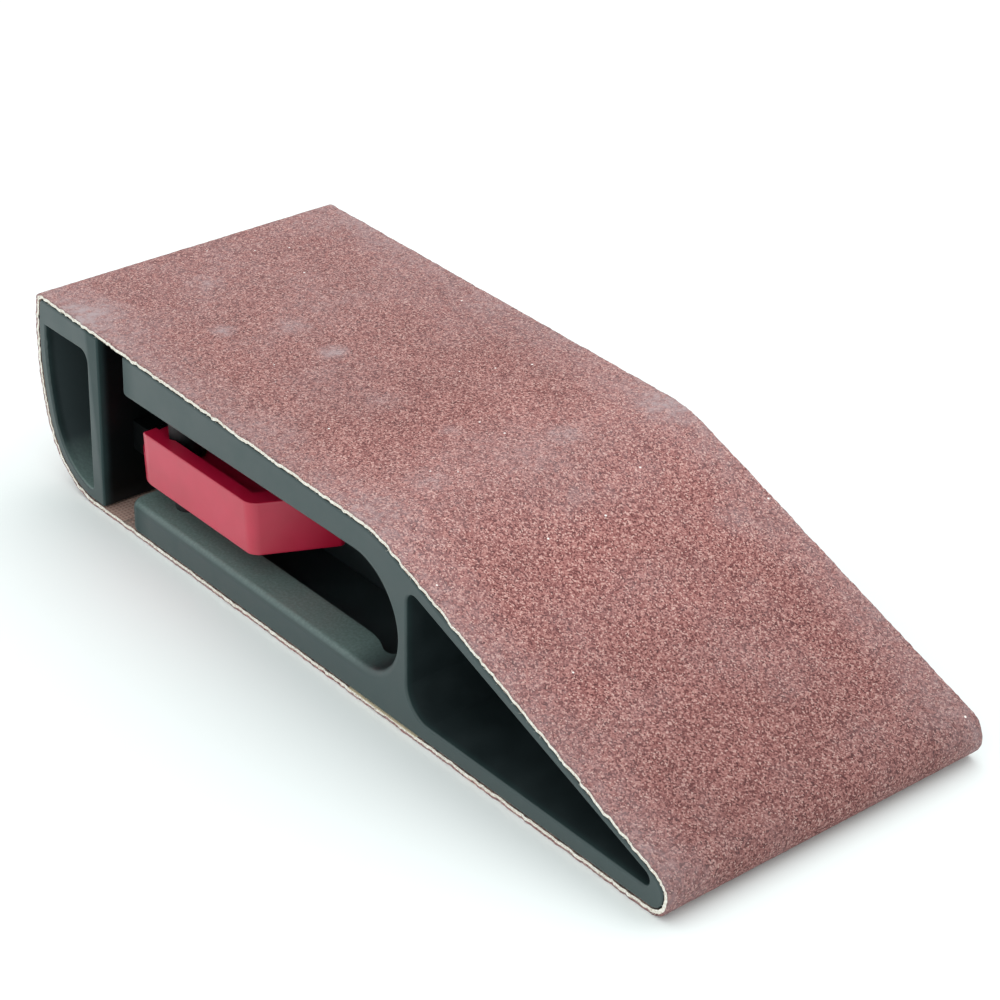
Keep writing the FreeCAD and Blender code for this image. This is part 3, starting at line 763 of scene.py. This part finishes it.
def splice_tape(material):
    """The strip over the belt's slanting joint, lightly creased, in place of its CAD film."""
    rng = np.random.default_rng(SEED + 2)
    low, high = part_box("belt_splice_tape")
    near_xs = [v.co.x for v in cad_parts["belt_splice_tape"].data.vertices if v.co.y < 0]
    width = max(near_xs) - min(near_xs)
    lean = high.x - width - low.x
    vertices = []
    for level, crease in ((low.z, 0.0), (high.z, TAPE_CREASE)):
        for row in np.linspace(0, 1, TAPE_ROWS + 1):
            for column in np.linspace(0, 1, TAPE_COLUMNS + 1):
                x = low.x + lean * row + width * column
                y = low.y + (high.y - low.y) * row
                dent = crease * rng.uniform() if crease else 0.0
                vertices.append((x, y, level - dent))
    tape = mesh_piece("splice_tape", vertices, slab_faces(TAPE_COLUMNS, TAPE_ROWS), [material])
    shade_smooth(tape, sharp_degrees=60)
    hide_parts("belt_splice_tape")
    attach(tape, "belt")
    return tape


# ---- the take-up spring ---------------------------------------------------------------

def spring_advance(turn, length):
    """How far along a spring the wire has come after so many turns. The end turns are closed."""
    closed = 2 * SPRING_WIRE_RADIUS
    pitch = (length - 2 * closed) / (SPRING_TURNS - 2)
    if turn <= 1:
        return closed * turn
    if turn >= SPRING_TURNS - 1:
        return length - closed * (SPRING_TURNS - turn)
    return closed + pitch * (turn - 1)


def spring_coil(material):
    """A compression spring with closed, ground ends, made at the length of its CAD part; the real one
    shortens as the heel slides in.
    """
    low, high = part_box("take_up_spring")
    middle_z = (low.z + high.z) / 2
    radius = (high.z - low.z) / 2 - SPRING_WIRE_RADIUS
    start, end = low.x + SPRING_WIRE_RADIUS, high.x - SPRING_WIRE_RADIUS
    rings = SPRING_TURNS * SPRING_STEPS + 1
    vertices = []
    for ring in range(rings):
        turn = ring / SPRING_STEPS
        angle = 2 * math.pi * turn
        out = Vector((0, math.cos(angle), math.sin(angle)))
        middle = Vector((start + spring_advance(turn, end - start), 0, middle_z)) + out * radius
        for side in range(SPRING_SIDES):
            around = -2 * math.pi * side / SPRING_SIDES
            spoke = out * math.cos(around) + Vector((1, 0, 0)) * math.sin(around)
            point = middle + spoke * SPRING_WIRE_RADIUS
            point.x = min(max(point.x, low.x), high.x)
            vertices.append(point)
    faces = tube_faces(rings, SPRING_SIDES)
    spring = mesh_piece("take_up_coil_spring", vertices, faces, [material])
    shade_smooth(spring, sharp_degrees=50)
    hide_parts("take_up_spring")
    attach(spring, "block")
    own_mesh(spring)
    return spring


# ---- finishes of the CAD nodes ----------------------------------------------------------

def finish_node(name, material):
    """Gives a CAD node its material."""
    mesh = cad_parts[name].data
    mesh.materials.clear()
    mesh.materials.append(material)


# ---- floor, light and camera ------------------------------------------------------------

def floor():
    """A plain pale floor."""
    signs = ((-1, -1), (1, -1), (1, 1), (-1, 1))
    corners = [(x * FLOOR_REACH, y * FLOOR_REACH, 0) for x, y in signs]
    s = Shading("pale_floor")
    s.set(Base_Color=FLOOR_COLOUR, Roughness=0.8, Specular_IOR_Level=0.2)
    mesh_piece("floor", corners, [(0, 1, 2, 3)], [s.material])


def softbox():
    """A square light above the block and past its far side, turned to it."""
    light = bpy.data.lights.new("overhead_softbox", "AREA")
    light.shape = "SQUARE"
    light.size = SOFTBOX_SIZE
    light.energy = SOFTBOX_POWER
    lamp = bpy.data.objects.new("overhead_softbox", light)
    lamp.location = SOFTBOX_PLACE
    lamp.rotation_euler = (-Vector(SOFTBOX_PLACE)).to_track_quat("-Z", "Y").to_euler()
    bpy.context.scene.collection.objects.link(lamp)


def sky():
    """Soft light of one colour from all round."""
    world = bpy.data.worlds.new("studio")
    world.use_nodes = True
    background = world.node_tree.nodes["Background"]
    background.inputs["Color"].default_value = SKY_COLOUR
    background.inputs["Strength"].default_value = SKY_STRENGTH
    bpy.context.scene.world = world


def camera():
    """The main view, from above the nose's near side."""
    data = bpy.data.cameras.new("camera")
    data.sensor_width = CAMERA_SENSOR
    data.lens = CAMERA_LENS
    data.clip_start, data.clip_end = CAMERA_CLIP
    view = bpy.data.objects.new("camera", data)
    view.location = CAMERA_PLACE
    view.rotation_euler = [math.radians(angle) for angle in CAMERA_TURN]
    bpy.context.scene.collection.objects.link(view)
    bpy.context.scene.camera = view


# ---- the whole scene ---------------------------------------------------------------------

camera()
sky()
softbox()
floor()

cloth_edge = cut_cloth()
belt = abrasive_belt([abrasive_grit(), cloth_edge, backing_cloth()])
fibres = edge_fibres(cloth_edge)
tape = splice_tape(splice_film())

spring_coil(metal("spring_steel", rgb(120, 122, 126), rgb(160, 162, 166), 0.25))

black = body_plastic()
steel = metal("ground_steel", rgb(170, 172, 176), rgb(205, 206, 208), 0.18)
nylon = spacer_nylon()
FINISHES = {
    "main_body": black,
    "heel_shoe": black,
    "tension_lever": lever_plastic(),
    "lever_bush": metal("bronze", rgb(160, 112, 60), rgb(205, 160, 100), 0.3),
    "lever_pivot_pin": steel,
    "heel_retaining_pin": steel,
    "cam_thrust_plate": metal("hardened_steel", rgb(110, 112, 118), rgb(150, 150, 154), 0.22),
    "lower_lever_spacer": nylon,
    "upper_lever_spacer": nylon,
}
for node, material in FINISHES.items():
    finish_node(node, material)

bpy.context.scene.view_settings.view_transform = "Standard"
